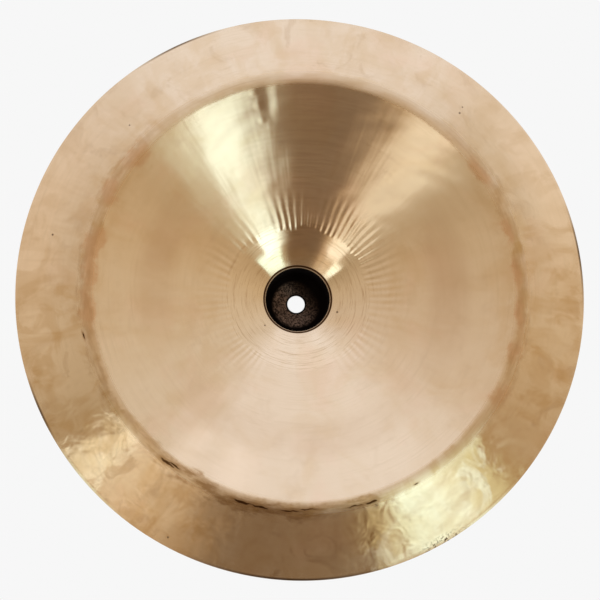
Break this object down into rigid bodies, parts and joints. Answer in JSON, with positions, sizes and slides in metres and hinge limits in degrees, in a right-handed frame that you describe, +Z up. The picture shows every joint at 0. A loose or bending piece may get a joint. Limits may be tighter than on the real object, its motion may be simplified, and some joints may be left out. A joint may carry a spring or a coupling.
{
  "type": "china cymbal",
  "caption": "Round bronze cymbal with a flat-topped cup bell, a shallow conical bow, and a wide flange turned back at the crease.",
  "frame": {"origin": "centre of the mounting hole, in the plane of the bell crown's outer face, on which the cymbal rests", "axes": "+Z up out of the cymbal's hollow side, along the axis of the mounting hole; +Y towards the top of the picture, +X towards its right"},
  "size_m": [0.4063, 0.4063, 0.0663],
  "materials": {
    "bronze": "lathed and hammered cymbal bronze, satin, with fine concentric lathe grooves; raw and dark brown on the bell"
  },
  "bodies": {
    "root": {"cymbal": "bronze"}
  },
  "joints": []
}
